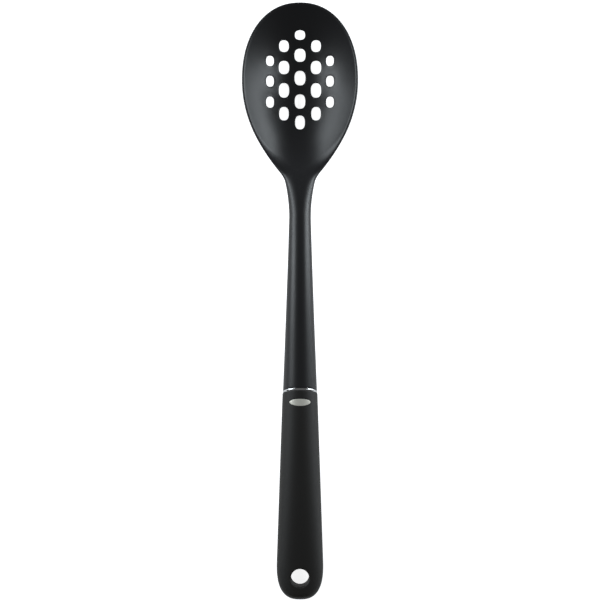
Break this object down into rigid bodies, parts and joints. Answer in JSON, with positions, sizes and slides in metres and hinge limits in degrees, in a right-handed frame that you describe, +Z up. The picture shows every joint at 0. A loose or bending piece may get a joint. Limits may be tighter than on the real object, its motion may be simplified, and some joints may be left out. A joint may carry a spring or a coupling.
{
  "type": "slotted serving spoon",
  "caption": "Deep oval serving spoon with short drain slots, an arched tapering shaft, a steel band and a soft grip with a hanging hole.",
  "frame": {"origin": "middle of the part's box in X and Y, on the surface the spoon lies on", "axes": "+Y along the spoon towards the tip of the bowl, +Z up out of the hollow of the bowl, +X to the side"},
  "size_m": [0.0642, 0.33, 0.0298],
  "materials": {
    "nylon": "satin moulded, fine texture",
    "band_steel": "polished",
    "core_plastic": "moulded, unseen inside the grip",
    "soft_grip": "matte",
    "badge_metal": "satin, bare"
  },
  "bodies": {
    "root": {"spoon_head": "nylon", "accent_ring": "band_steel", "handle_core": "core_plastic", "soft_grip": "soft_grip", "badge": "badge_metal"}
  },
  "joints": []
}
